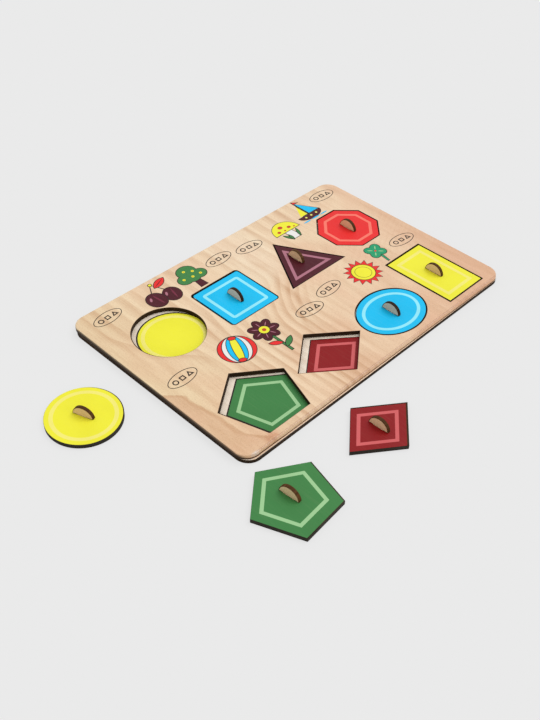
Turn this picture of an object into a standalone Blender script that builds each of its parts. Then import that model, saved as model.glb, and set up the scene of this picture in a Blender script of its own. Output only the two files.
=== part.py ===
"""Wooden shape puzzle: a two-layer plywood tray and eight lift-out shape pieces.

Units are metres and +Z is up. The origin is on the tray's underside, below the
centre of the top board. The long side runs along X and the back edge faces +Y.
Five pieces sit in their cut-outs; the circle lies on the table to the left of the
tray, and the pentagon and the diamond lie in front of it.
"""

import math

import bmesh
import bpy

# Tray boards
TRAY_LENGTH = 0.300
TRAY_WIDTH = 0.199
TRAY_CORNER_RADIUS = 0.012
BASE_THICKNESS = 0.0032
TOP_THICKNESS = 0.0036
GLUE_LINE = 0.0003
TOP_EDGE_ROUND = 0.0012

# The base board is glued on slightly out of line, so a thin ledge shows at the front
BASE_OFFSET_X = 0.0003
BASE_OFFSET_Y = -0.0009
BASE_TWIST = math.radians(0.3)

# Cut-outs, measured across the hole
CIRCLE_RADIUS = 0.0293
SQUARE_SIDE = 0.0514
SQUARE_CORNER_RADIUS = 0.003
TRIANGLE_SIDE = 0.0644
OCTAGON_ACROSS_FLATS = 0.0550
PENTAGON_SIDE = 0.0407
DIAMOND_LENGTH = 0.0694
DIAMOND_WIDTH = 0.0547
OVAL_LENGTH = 0.0644
OVAL_WIDTH = 0.0522
RECTANGLE_LENGTH = 0.0442
RECTANGLE_WIDTH = 0.0678

# Layout: the cut-outs of each row stand on one line, apart from the circle
BACK_ROW_LINE = 0.0074
FRONT_ROW_LINE = -0.0926
CIRCLE_RISE = 0.0009
CIRCLE_X = -0.1002
SQUARE_X = -0.0338
TRIANGLE_X = 0.0394
OCTAGON_X = 0.1060
PENTAGON_X = -0.0992
DIAMOND_X = -0.0276
OVAL_X = 0.0433
RECTANGLE_X = 0.1093

# Pieces: a seated one has slid a little towards the front inside its cut-out
PLATE_CLEARANCE = 0.0009
SEAT_GAP = 0.0003
SEAT_SLIP = 0.0004

# Finger tabs: the upper part of a small disc, standing in a slot by its tenon
TAB_LENGTH = 0.0172
TAB_HEIGHT = 0.0081
TAB_THICKNESS = 0.0028
TENON_LENGTH = 0.0100
SLOT_CLEARANCE = 0.0003

# Where the three lifted pieces lie on the table, and how they are turned
CIRCLE_REST_X = -0.1998
CIRCLE_REST_Y = 0.0139
CIRCLE_REST_TURN = math.radians(20.5)
PENTAGON_REST_X = -0.1469
PENTAGON_REST_Y = -0.1417
PENTAGON_REST_TURN = math.radians(5.1)
DIAMOND_REST_X = -0.0580
DIAMOND_REST_Y = -0.1398
DIAMOND_REST_TURN = math.radians(2.1)

# Roundness of the curved outlines
FULL_ROUND_POINTS = 96
CORNER_POINTS = 10
TAB_ARC_POINTS = 28
EDGE_ROUND_STEPS = 3
CUTTER_MARGIN = 0.002
WELD_DISTANCE = 0.000001

# Heights that follow from the boards
SEAM_TOP = BASE_THICKNESS + GLUE_LINE
TRAY_HEIGHT = SEAM_TOP + TOP_THICKNESS
PLATE_THICKNESS = TRAY_HEIGHT - BASE_THICKNESS - SEAT_GAP
PLATE_SEAT = BASE_THICKNESS + SEAT_GAP

# Colours of the boards and the printed faces
BIRCH = (0.78, 0.57, 0.36)
CHARRED_BIRCH = (0.40, 0.28, 0.17)
YELLOW = (0.90, 0.86, 0.05)
BLUE = (0.03, 0.52, 0.86)
MAROON = (0.13, 0.03, 0.05)
RED = (0.80, 0.04, 0.04)
GREEN = (0.07, 0.27, 0.09)
DARK_RED = (0.28, 0.02, 0.03)


def clear_scene():
    for item in list(bpy.data.objects):
        bpy.data.objects.remove(item)


def new_collection(name):
    collection = bpy.data.collections.new(name)
    bpy.context.scene.collection.children.link(collection)
    return collection


def new_material(name, colour, roughness):
    material = bpy.data.materials.new(name)
    material.use_nodes = True
    shader = material.node_tree.nodes["Principled BSDF"]
    shader.inputs["Base Color"].default_value = (*colour, 1.0)
    shader.inputs["Roughness"].default_value = roughness
    shader.inputs["Metallic"].default_value = 0.0
    return material


def arc(centre_x, centre_y, radius, start, end, points):
    """Points along an arc, both ends included."""
    turn = (end - start) / (points - 1)
    return [
        (
            centre_x + radius * math.cos(start + turn * step),
            centre_y + radius * math.sin(start + turn * step),
        )
        for step in range(points)
    ]


def rounded_rectangle(length, width, radius):
    """Outline of a rectangle with round corners, about its centre."""
    across = length / 2 - radius
    up = width / 2 - radius
    corners = ((across, up), (-across, up), (-across, -up), (across, -up))
    outline = []
    for number, (centre_x, centre_y) in enumerate(corners):
        start = number * math.pi / 2
        outline += arc(centre_x, centre_y, radius, start, start + math.pi / 2, CORNER_POINTS)
    return outline


def sharp_rectangle(length, width):
    across = length / 2
    up = width / 2
    return [(across, up), (-across, up), (-across, -up), (across, -up)]


def ellipse(half_length, half_width):
    return [
        (
            half_length * math.cos(2 * math.pi * step / FULL_ROUND_POINTS),
            half_width * math.sin(2 * math.pi * step / FULL_ROUND_POINTS),
        )
        for step in range(FULL_ROUND_POINTS)
    ]


def regular_polygon(sides, inner_radius, first_corner):
    """Outline with the given distance from the centre to each side."""
    outer_radius = inner_radius / math.cos(math.pi / sides)
    return [
        (
            outer_radius * math.cos(first_corner + 2 * math.pi * step / sides),
            outer_radius * math.sin(first_corner + 2 * math.pi * step / sides),
        )
        for step in range(sides)
    ]


# Each outline is drawn about its own centre, and drawn smaller by the inset
def circle_outline(inset):
    return ellipse(CIRCLE_RADIUS - inset, CIRCLE_RADIUS - inset)


def square_outline(inset):
    side = SQUARE_SIDE - 2 * inset
    return rounded_rectangle(side, side, SQUARE_CORNER_RADIUS - inset)


def triangle_outline(inset):
    return regular_polygon(3, TRIANGLE_SIDE / (2 * math.tan(math.pi / 3)) - inset, math.pi / 2)


def octagon_outline(inset):
    return regular_polygon(8, OCTAGON_ACROSS_FLATS / 2 - inset, math.pi / 8)


def pentagon_outline(inset):
    return regular_polygon(5, PENTAGON_SIDE / (2 * math.tan(math.pi / 5)) - inset, math.pi / 2)


def diamond_outline(inset):
    half_length = DIAMOND_LENGTH / 2
    half_width = DIAMOND_WIDTH / 2
    to_side = half_length * half_width / math.hypot(half_length, half_width)
    shrink = (to_side - inset) / to_side
    return [
        (half_length * shrink, 0.0),
        (0.0, half_width * shrink),
        (-half_length * shrink, 0.0),
        (0.0, -half_width * shrink),
    ]


def oval_outline(inset):
    return ellipse(OVAL_LENGTH / 2 - inset, OVAL_WIDTH / 2 - inset)


def rectangle_outline(inset):
    return sharp_rectangle(RECTANGLE_LENGTH - 2 * inset, RECTANGLE_WIDTH - 2 * inset)


def tab_outline():
    """Side view of a tab: x along its length, y up from the plate's top face."""
    half_length = TAB_LENGTH / 2
    rise = TAB_HEIGHT - SEAT_GAP
    radius = (half_length ** 2 + rise ** 2) / (2 * rise)
    centre_y = TAB_HEIGHT - radius
    end_angle = math.atan2(SEAT_GAP - centre_y, half_length)
    outline = arc(0.0, centre_y, radius, end_angle, math.pi - end_angle, TAB_ARC_POINTS)
    half_tenon = TENON_LENGTH / 2
    foot = SLOT_CLEARANCE - PLATE_THICKNESS
    outline += [
        (-half_tenon, SEAT_GAP),
        (-half_tenon, foot),
        (half_tenon, foot),
        (half_tenon, SEAT_GAP),
    ]
    return outline


def lowest(outline):
    return min(y for x, y in outline)


def middle(outline):
    """Centre of the box around an outline."""
    across = [x for x, y in outline]
    up = [y for x, y in outline]
    return (min(across) + max(across)) / 2, (min(up) + max(up)) / 2


def slab_mesh(name, outlines, thickness):
    """Flat solid of the first outline, with the other outlines as holes through it."""
    curve = bpy.data.curves.new(name, "CURVE")
    curve.dimensions = "2D"
    curve.fill_mode = "BOTH"
    curve.extrude = thickness / 2
    for outline in outlines:
        spline = curve.splines.new("POLY")
        spline.points.add(len(outline) - 1)
        for point, (x, y) in zip(spline.points, outline):
            point.co = (x, y, 0.0, 1.0)
        spline.use_cyclic_u = True
    holder = bpy.data.objects.new(name, curve)
    bpy.context.scene.collection.objects.link(holder)
    depsgraph = bpy.context.evaluated_depsgraph_get()
    mesh = bpy.data.meshes.new_from_object(holder.evaluated_get(depsgraph))
    bpy.data.objects.remove(holder)
    bpy.data.curves.remove(curve)

    shape = bmesh.new()
    shape.from_mesh(mesh)
    bmesh.ops.remove_doubles(shape, verts=shape.verts, dist=WELD_DISTANCE)
    bmesh.ops.recalc_face_normals(shape, faces=shape.faces)
    if len(outlines) == 1:
        bmesh.ops.dissolve_limit(
            shape, angle_limit=math.radians(0.5), verts=[], edges=flat_edges(shape)
        )
    shape.to_mesh(mesh)
    shape.free()
    mesh.name = name
    return mesh


def flat_edges(shape):
    """Edges inside the top and bottom faces of a slab."""
    return [
        edge for edge in shape.edges
        if len(edge.link_faces) == 2
        and all(abs(face.normal.z) > 0.9 for face in edge.link_faces)
    ]


def add_object(name, mesh, collection, material):
    item = bpy.data.objects.new(name, mesh)
    collection.objects.link(item)
    mesh.materials.clear()
    mesh.materials.append(material)
    mesh.shade_smooth()
    mesh.set_sharp_from_angle(angle=math.radians(30))
    return item


def add_slab(name, outlines, thickness, collection, material):
    return add_object(name, slab_mesh(name, outlines, thickness), collection, material)


def round_top_edge(board, width):
    """Rounds the arris between a slab's upper face and its sides."""
    mesh = board.data
    upper = max(vertex.co.z for vertex in mesh.vertices)
    weight = mesh.attributes.new("bevel_weight_edge", "FLOAT", "EDGE")
    for edge in mesh.edges:
        ends = [mesh.vertices[index].co.z for index in edge.vertices]
        weight.data[edge.index].value = 1.0 if min(ends) > upper - WELD_DISTANCE else 0.0
    bevel = board.modifiers.new("rounded arris", "BEVEL")
    bevel.limit_method = "WEIGHT"
    bevel.width = width
    bevel.segments = EDGE_ROUND_STEPS


def cut(board, cutter):
    modifier = board.modifiers.new(cutter.name, "BOOLEAN")
    modifier.operation = "DIFFERENCE"
    modifier.solver = "EXACT"
    modifier.object = cutter


def make_base_board(collection, material):
    outline = rounded_rectangle(TRAY_LENGTH, TRAY_WIDTH, TRAY_CORNER_RADIUS)
    base = add_slab("base_board", [outline], BASE_THICKNESS, collection, material)
    base.location = (BASE_OFFSET_X, BASE_OFFSET_Y, BASE_THICKNESS / 2)
    base.rotation_euler = (0.0, 0.0, BASE_TWIST)
    return base


def make_top_board(collection, cutters, material, pieces):
    outline = rounded_rectangle(TRAY_LENGTH, TRAY_WIDTH, TRAY_CORNER_RADIUS)
    top = add_slab("top_board", [outline], TOP_THICKNESS, collection, material)
    top.location = (0.0, 0.0, SEAM_TOP + TOP_THICKNESS / 2)
    round_top_edge(top, TOP_EDGE_ROUND)
    for piece in pieces:
        hole = add_slab(
            piece["name"] + "_cutter",
            [piece["outline"](0.0)],
            TOP_THICKNESS + 2 * CUTTER_MARGIN,
            cutters,
            material,
        )
        hole.location = (*piece["hole"], top.location.z)
        hole.hide_render = True
        hole.display_type = "WIRE"
        cut(top, hole)
    return top


def make_piece(piece, collection, tab_material):
    """Plate and finger tab of one shape, both carried by an empty at the plate's centre."""
    name = piece["name"]
    holder = bpy.data.objects.new(name + "_piece", None)
    collection.objects.link(holder)
    holder.location = piece["rest"]
    holder.rotation_euler = (0.0, 0.0, piece["turn"])

    outline = piece["outline"](PLATE_CLEARANCE)
    centre_x, centre_y = middle(outline)
    slot = [
        (x + centre_x, y + centre_y)
        for x, y in sharp_rectangle(
            TAB_THICKNESS + 2 * SLOT_CLEARANCE, TENON_LENGTH + 2 * SLOT_CLEARANCE
        )
    ]
    face = new_material(name + "_print", piece["colour"], 0.35)
    plate = add_slab(name + "_plate", [outline, slot], PLATE_THICKNESS, collection, face)
    plate.parent = holder
    plate.location = (0.0, 0.0, PLATE_THICKNESS / 2)

    tab = add_slab(name + "_tab", [tab_outline()], TAB_THICKNESS, collection, tab_material)
    tab.parent = holder
    tab.location = (centre_x, centre_y, PLATE_THICKNESS)
    tab.rotation_euler = (math.pi / 2, 0.0, math.pi / 2)


def describe_piece(name, outline, x, row_line, colour, table_place=None, rise=0.0):
    """Places one shape's cut-out on its row, and its piece in the hole or on the table."""
    hole = (x, row_line + rise - lowest(outline(0.0)))
    if table_place is None:
        rest = (hole[0], hole[1] - SEAT_SLIP, PLATE_SEAT)
        turn = 0.0
    else:
        table_x, table_y, turn = table_place
        rest = (table_x, table_y, 0.0)
    return {
        "name": name,
        "outline": outline,
        "hole": hole,
        "rest": rest,
        "turn": turn,
        "colour": colour,
    }


def list_pieces():
    circle_place = (CIRCLE_REST_X, CIRCLE_REST_Y, CIRCLE_REST_TURN)
    pentagon_place = (PENTAGON_REST_X, PENTAGON_REST_Y, PENTAGON_REST_TURN)
    diamond_place = (DIAMOND_REST_X, DIAMOND_REST_Y, DIAMOND_REST_TURN)
    return [
        describe_piece(
            "circle", circle_outline, CIRCLE_X, BACK_ROW_LINE, YELLOW, circle_place, CIRCLE_RISE
        ),
        describe_piece("square", square_outline, SQUARE_X, BACK_ROW_LINE, BLUE),
        describe_piece("triangle", triangle_outline, TRIANGLE_X, BACK_ROW_LINE, MAROON),
        describe_piece("octagon", octagon_outline, OCTAGON_X, BACK_ROW_LINE, RED),
        describe_piece(
            "pentagon", pentagon_outline, PENTAGON_X, FRONT_ROW_LINE, GREEN, pentagon_place
        ),
        describe_piece(
            "diamond", diamond_outline, DIAMOND_X, FRONT_ROW_LINE, DARK_RED, diamond_place
        ),
        describe_piece("oval", oval_outline, OVAL_X, FRONT_ROW_LINE, BLUE),
        describe_piece("rectangle", rectangle_outline, RECTANGLE_X, FRONT_ROW_LINE, YELLOW),
    ]


def main():
    clear_scene()
    collection = new_collection("shape_puzzle")
    cutters = new_collection("cutters")
    board_material = new_material("birch_board", BIRCH, 0.4)
    tab_material = new_material("charred_birch_tab", CHARRED_BIRCH, 0.6)
    pieces = list_pieces()
    make_base_board(collection, board_material)
    make_top_board(collection, cutters, board_material, pieces)
    for piece in pieces:
        make_piece(piece, collection, tab_material)


main()
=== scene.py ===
"""Looks of the wooden shape puzzle: boards, printed pieces, finger tabs, prints and light.

Lengths are in metres. X runs along the tray, Y to its back edge, Z up from the table.
"""

import math

import bmesh
import bpy
from mathutils import Matrix, Vector


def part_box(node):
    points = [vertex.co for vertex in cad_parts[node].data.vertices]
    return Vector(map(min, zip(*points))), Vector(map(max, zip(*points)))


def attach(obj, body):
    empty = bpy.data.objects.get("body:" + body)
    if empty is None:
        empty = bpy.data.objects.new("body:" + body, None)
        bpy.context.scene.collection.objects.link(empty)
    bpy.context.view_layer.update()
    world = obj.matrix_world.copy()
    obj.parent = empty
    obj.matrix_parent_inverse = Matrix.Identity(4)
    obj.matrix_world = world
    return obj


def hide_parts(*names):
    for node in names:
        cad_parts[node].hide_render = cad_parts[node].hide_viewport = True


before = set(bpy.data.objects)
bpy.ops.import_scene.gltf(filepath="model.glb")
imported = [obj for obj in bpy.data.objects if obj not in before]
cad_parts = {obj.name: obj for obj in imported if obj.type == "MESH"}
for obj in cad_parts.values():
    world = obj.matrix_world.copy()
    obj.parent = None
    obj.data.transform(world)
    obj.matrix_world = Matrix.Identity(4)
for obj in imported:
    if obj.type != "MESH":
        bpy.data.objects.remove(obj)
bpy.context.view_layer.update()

MM = 0.001

# Boards, read from the frame
BOARD_LOW, BOARD_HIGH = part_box("top_board")
BASE_LOW, BASE_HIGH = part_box("base_board")
BOARD_LENGTH = BOARD_HIGH.x - BOARD_LOW.x
BOARD_WIDTH = BOARD_HIGH.y - BOARD_LOW.y
LEFT_EDGE = BOARD_LOW.x
FRONT_EDGE = BOARD_LOW.y
BOARD_TOP = BOARD_HIGH.z
SEAM_TOP = BOARD_LOW.z
BASE_TOP = BASE_HIGH.z
PLATE_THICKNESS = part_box("square_plate")[1].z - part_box("square_plate")[0].z
BOARD_CORNER_RADIUS = 12 * MM
BOARD_EDGE_ROUND = 1.2 * MM
BASE_TWIST = math.radians(0.3)
GLUE_INSET = 0.35 * MM

# Cut-outs, as the solids have them
PLATE_CLEARANCE = 0.9 * MM
SEAT_SLIP = 0.4 * MM
BACK_ROW_LINE = 7.4 * MM
FRONT_ROW_LINE = -92.6 * MM
CIRCLE_RISE = 0.9 * MM
PLUG_HEIGHT = 12 * MM
PLUG_DROP = 2 * MM

# Growth rings of the veneer: spacing and first ring at the front edge, and where they bend
RING_SPACING = 8.2 * MM
RING_START = 4.8 * MM
BEND_FRONT = -25.5 * MM
BEND_BACK = 39.5 * MM
BEND_TURNS = 3.71
BEND_SPREAD = 43.8

# Single growth lines: X at the back edge, then bends from one Y to another and how far they reach
HEART_LINE = (-139, ((70, 28, 12), (30, -6, 27)))
CORNER_LINE = (-152, ((-8, -26, 13), (-26, -60, 4), (-74, -102, 15)))
MIDDLE_LINE = (9, ((40, 8, -5), (6, -36, -22)))

# A painted highlight on the rim and a brownish stain at the left front corner
PAINTED_HIGHLIGHT_PLACE = (-139.8 * MM, -99.0 * MM, 6.4 * MM)
STAIN_PLACE = (-120.6 * MM, -96.4 * MM, BOARD_TOP)

# Depth of the surface's own relief, and the lacquer
WOOD_GRAIN_DEPTH = 0.04 * MM
SANDED_DEPTH = 0.03 * MM
GLUE_DEPTH = 0.02 * MM
INK_DEPTH = 0.005 * MM
LACQUER = 0.35
COAT_ROUGHNESS = 0.18

# Printing on the pieces and in the recesses
BURNT_RIM = 2.4 * MM
INK_EDGE = 0.14 * MM
CUT_OUT_SCORCH = 0.25 * MM
INK_THICKNESS = 0.02 * MM
INK_SINK = 0.01 * MM
PICTURE_STEP = 0.008 * MM
LINE_WIDTH = 0.55 * MM
ARRIS = 0.12 * MM

# Finger tabs
TAB_LENGTH = 17.2 * MM
TAB_HEIGHT = 8.1 * MM
TAB_THICKNESS = 2.8 * MM
TAB_FOOT_GAP = 0.05 * MM
TAB_SCORCH = 0.35 * MM
TENON_LENGTH = 10.0 * MM
TENON_DEPTH = 3.3 * MM
SLOT_GAP = 0.1 * MM
TAB_ARRIS = 0.22 * MM

# Roundness, and how straight up, down or aside a flat face looks
ROUND_POINTS = 128
CORNER_STEPS = 12
SMOOTH_ANGLE = math.radians(30)
STRAIGHT = 0.99

# Camera
LENS = 45.94
SENSOR_WIDTH = 36
CAMERA_PLACE = Vector((-0.43067, -0.39454, 0.47571))
CAMERA_RIGHT = Vector((0.70638, -0.70770, 0.01344))
CAMERA_AHEAD = Vector((0.52618, 0.51231, -0.67873))
CAMERA_TO_LEFT = 0.38 * MM
CAMERA_LIFT = 0.45 * MM

# Table and light
FLOOR_REACH = 3.0
FLOOR_DROP = 0.2 * MM
FLOOR_GLOW = 0.84
WORLD_LIGHT = 0.68
SUN_LIGHT = 0.32
SUN_ELEVATION = math.radians(58)
SUN_AZIMUTH = math.radians(-12)
SUN_WIDTH = math.radians(40)


# Shape outlines
def round_flat(half_length, half_width):
    def add(inset):
        bpy.ops.mesh.primitive_circle_add(vertices=ROUND_POINTS, radius=1, fill_type="NGON")
        stretch(half_length - inset, half_width - inset)
    return add


def polygon_flat(sides, inner_radius, half_step=False):
    def add(inset):
        radius = (inner_radius - inset) / math.cos(math.pi / sides)
        turn = math.pi / sides if half_step else 0.0
        bpy.ops.mesh.primitive_circle_add(
            vertices=sides, radius=radius, fill_type="NGON", rotation=(0, 0, turn)
        )
        bpy.ops.object.transform_apply(location=False, rotation=True, scale=False)
    return add


def diamond_flat(half_length, half_width):
    to_side = half_length * half_width / math.hypot(half_length, half_width)

    def add(inset):
        shrink = (to_side - inset) / to_side
        bpy.ops.mesh.primitive_circle_add(vertices=4, radius=1, fill_type="NGON")
        stretch(half_length * shrink, half_width * shrink)
    return add


def rectangle_flat(half_length, half_width, corner_radius=0.0):
    def add(inset):
        bpy.ops.mesh.primitive_plane_add(size=2)
        stretch(half_length - inset, half_width - inset)
        if corner_radius > inset:
            edit_all(bpy.context.object)
            bpy.ops.mesh.bevel(
                offset=corner_radius - inset, segments=CORNER_STEPS, affect="VERTICES"
            )
            leave_edit()
    return add


def stretch(along_x, along_y):
    edit_all(bpy.context.object)
    bpy.ops.transform.resize(value=(along_x, along_y, 1), center_override=(0, 0, 0))
    leave_edit()


class Shape:
    """One shape: its flat outline, cut-out, rest place, colours and prints.

    The field and ring slips tell how far the print on the plate is out of register, in mm along
    the table; the floor shift tells the same of the print in the recess. The burn is the width of
    the laser's smoke mark round the cut-out, and its drift tells which way the smoke blew.
    """

    def __init__(self, name, flat, low, x, line, ink, tint, ring_inset, ring_width=2.7, rest=None,
                 bleed=0.0, field_slip=(0, 0), ring_slip=(0, 0), ring_flat=None, floor_inset=1.65,
                 floor_ring_inset=None, floor_shift=(1.4, -2.6), outline=0.75, burn=0.0,
                 drift=(0, 0)):
        self.name = name
        self.flat = flat
        self.ring_flat = ring_flat or flat
        self.slot = ink + "_print"
        self.hole = Vector((x * MM, line + low, 0))
        self.ink = ink
        self.tint = tint
        self.ring_inset = ring_inset * MM
        self.ring_width = ring_width * MM
        self.bleed = bleed * MM
        self.field_slip = Vector((*field_slip, 0)) * MM
        self.ring_slip = Vector((*ring_slip, 0)) * MM
        self.floor_inset = floor_inset * MM
        self.floor_ring_inset = (floor_ring_inset or ring_inset) * MM
        self.outline = outline * MM
        self.floor_shift = Vector((*floor_shift, 0)) * MM
        self.burn = burn * MM
        self.drift = Vector((*drift, 0)) * MM
        if rest:
            self.place = Vector((rest[0] * MM, rest[1] * MM, 0))
            self.turn = math.radians(rest[2])
        else:
            self.place = self.hole + Vector((0, -SEAT_SLIP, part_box(name + "_plate")[0].z))
            self.turn = 0.0


TRIANGLE_INNER = 64.4 * MM / (2 * math.tan(math.pi / 3))
PENTAGON_INNER = 40.7 * MM / (2 * math.tan(math.pi / 5))
SHAPES = [
    Shape("circle", round_flat(29.3 * MM, 29.3 * MM), 29.3 * MM + CIRCLE_RISE, -100.2, BACK_ROW_LINE,
          "yellow", "pale_yellow", 3.6, 3.1, rest=(-199.8, 13.9, 20.5), field_slip=(-0.57, 0.29),
          floor_inset=1.0, floor_ring_inset=2.5, floor_shift=(1.5, -3.9), outline=1.3, burn=0.12,
          drift=(-0.45, 0.35)),
    Shape("square", rectangle_flat(25.7 * MM, 25.7 * MM, 3 * MM), 25.7 * MM, -33.8, BACK_ROW_LINE,
          "blue", "pale_blue", 5.3, ring_flat=rectangle_flat(25.7 * MM, 25.7 * MM, 9 * MM), burn=0.3,
          drift=(-0.3, 0.5)),
    Shape("triangle", polygon_flat(3, TRIANGLE_INNER), TRIANGLE_INNER, 39.4, BACK_ROW_LINE,
          "maroon", "mauve", 5.0, ring_slip=(-0.6, 0.5)),
    Shape("octagon", polygon_flat(8, 27.5 * MM, True), 27.5 * MM, 106.0, BACK_ROW_LINE,
          "red", "salmon", 5.3, burn=0.1, drift=(0.3, -0.3)),
    Shape("pentagon", polygon_flat(5, PENTAGON_INNER), PENTAGON_INNER, -99.2, FRONT_ROW_LINE,
          "green", "pale_green", 7.1, rest=(-146.9, -141.7, 5.1), bleed=0.65, field_slip=(-1.2, 1.06),
          ring_slip=(-1.2, 1.06), floor_inset=2.55, floor_shift=(2.35, -2.2), outline=1.1, burn=0.4,
          drift=(-0.4, 0.5)),
    Shape("diamond", diamond_flat(34.7 * MM, 27.35 * MM), 27.35 * MM, -27.6, FRONT_ROW_LINE,
          "dark_red", "pink", 5.7, rest=(-58.0, -139.8, 2.1), field_slip=(-1.95, 0.19),
          ring_slip=(-1.7, 0.0), floor_shift=(2.1, -3.6), burn=0.15, drift=(-0.6, 0.3)),
    Shape("oval", round_flat(32.2 * MM, 26.1 * MM), 26.1 * MM, 43.3, FRONT_ROW_LINE,
          "blue", "pale_blue", 4.6, burn=0.3, drift=(0.03, -0.45)),
    Shape("rectangle", rectangle_flat(22.1 * MM, 33.9 * MM), 33.9 * MM, 109.3, FRONT_ROW_LINE,
          "yellow", "pale_yellow", 5.2, 3.0, burn=0.65, drift=(-0.12, -0.18)),
]


# Colours
def srgb(red, green, blue):
    """Linear colour of an eye colour given from 0 to 255."""
    channels = []
    for value in (red, green, blue):
        value /= 255
        channels.append(value / 12.92 if value <= 0.04045 else ((value + 0.055) / 1.055) ** 2.4)
    return (*channels, 1.0)


INKS = {
    "yellow": srgb(245, 240, 56),
    "pale_yellow": srgb(249, 240, 122),
    "blue": srgb(6, 195, 247),
    "pale_blue": srgb(150, 238, 255),
    "maroon": srgb(77, 10, 28),
    "mauve": srgb(178, 116, 132),
    "red": srgb(238, 43, 43),
    "salmon": srgb(252, 122, 106),
    "green": srgb(63, 130, 69),
    "pale_green": srgb(160, 206, 150),
    "dark_red": srgb(142, 12, 18),
    "pink": srgb(214, 98, 100),
    "plum": srgb(118, 40, 62),
    "white": srgb(240, 238, 234),
    "teal": srgb(30, 158, 108),
    "rust": srgb(200, 74, 40),
    "line": srgb(36, 26, 22),
}
BIRCH = srgb(248, 221, 185)
YELLOW_BIRCH = srgb(242, 216, 174)
PALE_BIRCH = srgb(252, 232, 200)
ROSY_BIRCH = srgb(232, 184, 148)
DARK_BIRCH = srgb(192, 138, 88)
# Recess floor birch, painted lighter to offset the shade in the recesses
RECESS_BIRCH_PAINTED_LIGHT = srgb(254, 244, 228)
# Tab birch, painted lighter to offset the shade on the tabs' faces
TAB_BIRCH_PAINTED_LIGHT = srgb(236, 206, 164)
# Greyer tab birch for tabs on blue plates: painted bounce light from the blue print
TAB_BIRCH_PAINTED_BLUE_BOUNCE = srgb(226, 208, 186)
CHAR = srgb(44, 29, 15)
CHAR_LIGHT = srgb(84, 64, 46)
PLATE_CHAR = srgb(45, 40, 33)
PLATE_CHAR_LIGHT = srgb(80, 74, 66)
BROWN_CHAR = srgb(74, 46, 20)
BROWN_CHAR_LIGHT = srgb(122, 84, 46)
BROWNED = srgb(136, 84, 48)
# Pale colour of the painted highlight on the rim at the left front corner
PAINTED_HIGHLIGHT = srgb(232, 224, 214)
STAIN_TONE = srgb(228, 196, 180)
# Painted shade on the tray's front rim
FRONT_RIM_SHADE = srgb(228, 218, 212)
SANDED_TAN = srgb(190, 136, 96)
UNDERSIDE_BIRCH = srgb(228, 202, 168)
GLUE_DARK = srgb(60, 40, 26)
GLUE_LIGHT = srgb(110, 78, 50)
THICK_INK = srgb(244, 242, 240)
SEAM_LINE = srgb(88, 50, 26)
FRONT_LEDGE = srgb(244, 210, 176)
LEFT_LEDGE = srgb(128, 114, 106)
PALE = srgb(234, 234, 234)


# Shader helpers
class Nodes:
    """Adds nodes to a tree and links them, with plain values for what isn't linked."""

    def __init__(self, tree, position=None):
        self.tree = tree
        self.position = position

    def add(self, kind, settings=None, **values):
        node = self.tree.nodes.new(kind)
        for key, value in (settings or {}).items():
            setattr(node, key, value)
        for key, value in values.items():
            self.put(node.inputs[key.replace("_", " ")], value)
        return node

    def put(self, socket, value):
        if isinstance(value, bpy.types.NodeSocket):
            self.tree.links.new(value, socket)
        else:
            socket.default_value = value

    def math(self, operation, *values, clamp=False):
        node = self.add("ShaderNodeMath", {"operation": operation, "use_clamp": clamp})
        for socket, value in zip(node.inputs, values):
            self.put(socket, value)
        return node.outputs[0]

    def plus(self, first, second):
        return self.math("ADD", first, second)

    def minus(self, first, second):
        return self.math("SUBTRACT", first, second)

    def times(self, first, second):
        return self.math("MULTIPLY", first, second)

    def larger(self, first, second):
        return self.math("MAXIMUM", first, second)

    def fit(self, value, factor, offset):
        """The value times the factor, plus the offset."""
        return self.math("MULTIPLY_ADD", value, factor, offset)

    def mix(self, factor, first, second, blend="MIX"):
        node = self.add("ShaderNodeMix", {"data_type": "RGBA", "blend_type": blend})
        for socket, value in ((0, factor), (6, first), (7, second)):
            self.put(node.inputs[socket], value)
        return node.outputs[2]

    def ramp(self, value, low, high):
        """Smooth change from 0 at low to 1 at high; the value may fall from low to high."""
        smooth_step = {"interpolation_type": "SMOOTHSTEP"}
        node = self.add("ShaderNodeMapRange", smooth_step, Value=value, From_Min=low, From_Max=high)
        return node.outputs["Result"]

    def noise(self, scale, squash=(1, 1, 1), detail=2.0, roughness=0.5, shift=(0, 0, 0)):
        """Clouds of about the scale to the metre, longer along an axis that is squashed."""
        mapping = self.add("ShaderNodeMapping", Vector=self.position, Scale=squash, Location=shift)
        noise = self.add(
            "ShaderNodeTexNoise", Vector=mapping.outputs[0], Scale=scale, Detail=detail,
            Roughness=roughness,
        )
        return noise.outputs[0]

    def place(self):
        """X, Y and Z of the position."""
        return self.add("ShaderNodeSeparateXYZ", Vector=self.position).outputs


SURFACE = {"Color": "colour", "Height": "value"}
SOCKETS = {"colour": "NodeSocketColor", "value": "NodeSocketFloat", "vector": "NodeSocketVector"}


def new_group(name, inputs, outputs=SURFACE):
    """Node group that takes a position and more; returns its nodes, inputs and outputs."""
    group = bpy.data.node_groups.new(name, "ShaderNodeTree")
    for label, kind in {"Position": "vector", **inputs}.items():
        group.interface.new_socket(label, in_out="INPUT", socket_type=SOCKETS[kind])
    for label, kind in outputs.items():
        group.interface.new_socket(label, in_out="OUTPUT", socket_type=SOCKETS[kind])
    given = group.nodes.new("NodeGroupInput").outputs
    out = group.nodes.new("NodeGroupOutput").inputs
    return Nodes(group, given["Position"]), given, out


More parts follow.
